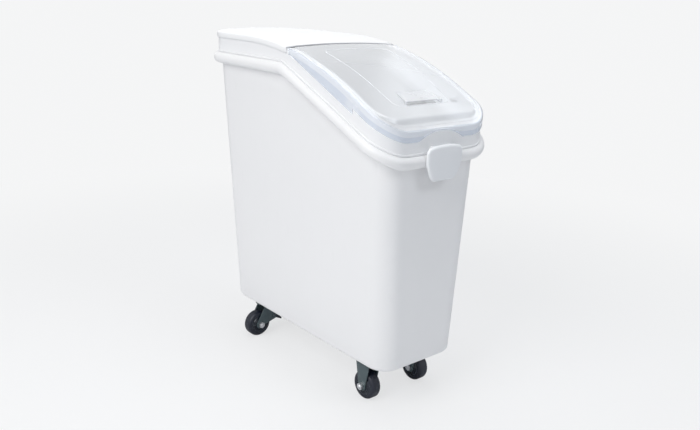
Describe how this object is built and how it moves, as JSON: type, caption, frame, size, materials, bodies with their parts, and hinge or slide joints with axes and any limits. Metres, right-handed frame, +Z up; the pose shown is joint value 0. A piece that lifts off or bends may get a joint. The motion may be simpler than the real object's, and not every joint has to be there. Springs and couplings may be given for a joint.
{
  "type": "ingredient bin",
  "caption": "Tapered white ingredient bin on casters, with a slanted mouth, a fixed rear cover, a clear flip-up lid and a front latch.",
  "frame": {"origin": "on the floor below the middle of the mouth's plan", "axes": "+Z up, the front latch faces -Y, +X to the right of someone behind the bin"},
  "size_m": [0.301, 0.607, 0.711],
  "materials": {
    "white_body": "satin moulded polyethylene",
    "white_collar": "smooth moulded plastic",
    "white_cover": "smooth moulded plastic",
    "white_latch": "smooth moulded plastic, bare face",
    "clear_lid": "clear polycarbonate",
    "zinc_steel": "bright zinc plate",
    "dark_painted_steel": "dark blue-black coating",
    "dark_plastic": "moulded, ringed faces",
    "dark_tread": "satin",
    "pedal_plastic": "moulded"
  },
  "bodies": {
    "base": {"bin_body": "white_body", "lid_collar": "white_collar", "rear_cover": "white_cover", "latch_pin": "zinc_steel", "caster_screws": "zinc_steel", "front_left_bracket": "dark_painted_steel", "front_left_axle_bolt": "zinc_steel", "front_left_axle_nut": "zinc_steel", "front_left_axle_sleeve": "zinc_steel", "rear_left_top_plate": "dark_painted_steel", "rear_left_ball_race": "dark_painted_steel", "rear_left_king_pin": "zinc_steel", "front_right_bracket": "dark_painted_steel", "front_right_axle_bolt": "zinc_steel", "front_right_axle_nut": "zinc_steel", "front_right_axle_sleeve": "zinc_steel", "rear_right_top_plate": "dark_painted_steel", "rear_right_ball_race": "dark_painted_steel", "rear_right_king_pin": "zinc_steel"},
    "lid": {"clear_lid": "clear_lid"},
    "latch": {"front_latch": "white_latch"},
    "front_left_wheel": {"front_left_wheel_core": "dark_plastic", "front_left_tyre": "dark_tread"},
    "rear_left_swivel": {"rear_left_fork": "dark_painted_steel", "rear_left_axle_bolt": "zinc_steel", "rear_left_axle_nut": "zinc_steel", "rear_left_axle_sleeve": "zinc_steel", "rear_left_pedal_pin": "zinc_steel"},
    "rear_left_wheel": {"rear_left_wheel_core": "dark_plastic", "rear_left_tyre": "dark_tread"},
    "rear_left_pedal": {"rear_left_brake_pedal": "pedal_plastic"},
    "front_right_wheel": {"front_right_wheel_core": "dark_plastic", "front_right_tyre": "dark_tread"},
    "rear_right_swivel": {"rear_right_fork": "dark_painted_steel", "rear_right_axle_bolt": "zinc_steel", "rear_right_axle_nut": "zinc_steel", "rear_right_axle_sleeve": "zinc_steel", "rear_right_pedal_pin": "zinc_steel"},
    "rear_right_wheel": {"rear_right_wheel_core": "dark_plastic", "rear_right_tyre": "dark_tread"},
    "rear_right_pedal": {"rear_right_brake_pedal": "pedal_plastic"}
  },
  "joints": [
    {"name": "lid_hinge", "type": "hinge", "parent": "base", "child": "lid", "pos_m": [0, -0.009, 0.68814], "axis": [-1, 0, 0], "range_deg": [0, 100]},
    {"name": "latch_hinge", "type": "hinge", "parent": "base", "child": "latch", "pos_m": [0, -0.2945, 0.533], "axis": [-1, 0, 0], "range_deg": [0, 60]},
    {"name": "front_left_roll", "type": "hinge", "parent": "base", "child": "front_left_wheel", "pos_m": [-0.068, -0.197, 0.03], "axis": [1, 0, 0], "continuous": true},
    {"name": "rear_left_swivel", "type": "hinge", "parent": "base", "child": "rear_left_swivel", "pos_m": [-0.0615, 0.183, 0.08], "axis": [0, 0, 1], "continuous": true},
    {"name": "rear_left_roll", "type": "hinge", "parent": "rear_left_swivel", "child": "rear_left_wheel", "pos_m": [-0.0855, 0.183, 0.03], "axis": [0, 1, 0], "continuous": true},
    {"name": "rear_left_brake", "type": "hinge", "parent": "rear_left_swivel", "child": "rear_left_pedal", "pos_m": [-0.0485, 0.183, 0.044], "axis": [0, 1, 0], "range_deg": [0, 12]},
    {"name": "front_right_roll", "type": "hinge", "parent": "base", "child": "front_right_wheel", "pos_m": [0.068, -0.197, 0.03], "axis": [1, 0, 0], "continuous": true},
    {"name": "rear_right_swivel", "type": "hinge", "parent": "base", "child": "rear_right_swivel", "pos_m": [0.0615, 0.183, 0.08], "axis": [0, 0, 1], "continuous": true},
    {"name": "rear_right_roll", "type": "hinge", "parent": "rear_right_swivel", "child": "rear_right_wheel", "pos_m": [0.0855, 0.183, 0.03], "axis": [0, 1, 0], "continuous": true},
    {"name": "rear_right_brake", "type": "hinge", "parent": "rear_right_swivel", "child": "rear_right_pedal", "pos_m": [0.0485, 0.183, 0.044], "axis": [0, -1, 0], "range_deg": [0, 12]}
  ]
}
